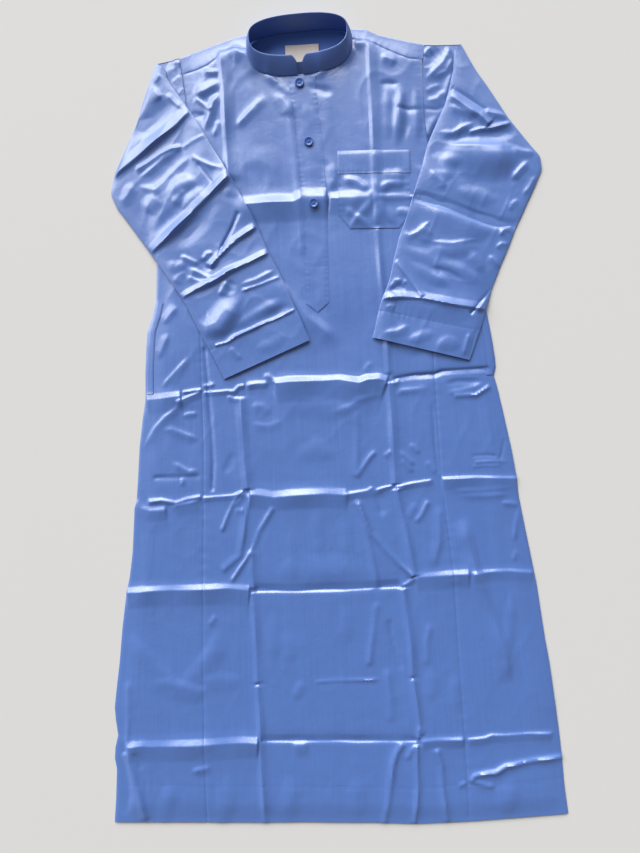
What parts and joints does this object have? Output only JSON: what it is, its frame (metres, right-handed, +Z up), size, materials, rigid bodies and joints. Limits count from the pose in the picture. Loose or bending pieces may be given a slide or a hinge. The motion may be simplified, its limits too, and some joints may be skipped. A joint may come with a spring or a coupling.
{
  "type": "thobe robe",
  "caption": "Long-sleeved ankle-length robe with a standing band collar, front placket and chest pocket, laid flat with its sleeves folded over the front.",
  "frame": {"origin": "on the surface the robe lies on, under the middle of its bounding box", "axes": "+Y from the hem to the collar, +X to the wearer's left, +Z up out of the surface"},
  "size_m": [0.8148, 1.4362, 0.0392],
  "materials": {
    "satin": "satin-woven polyester with a bright sheen",
    "button": "polished, dyed to match",
    "label": "woven, matt and bare"
  },
  "bodies": {
    "root": {"back": "satin", "yoke": "satin", "front_middle": "satin", "front_side_left": "satin", "front_side_right": "satin", "sleeve_left": "satin", "sleeve_right": "satin", "collar": "satin", "collar_tab": "satin", "placket": "satin", "chest_pocket": "satin", "chest_pocket_band": "satin", "side_pocket_facing_left": "satin", "side_pocket_facing_right": "satin", "button_top": "button", "button_middle": "button", "button_bottom": "button", "neck_label": "label"}
  },
  "joints": []
}
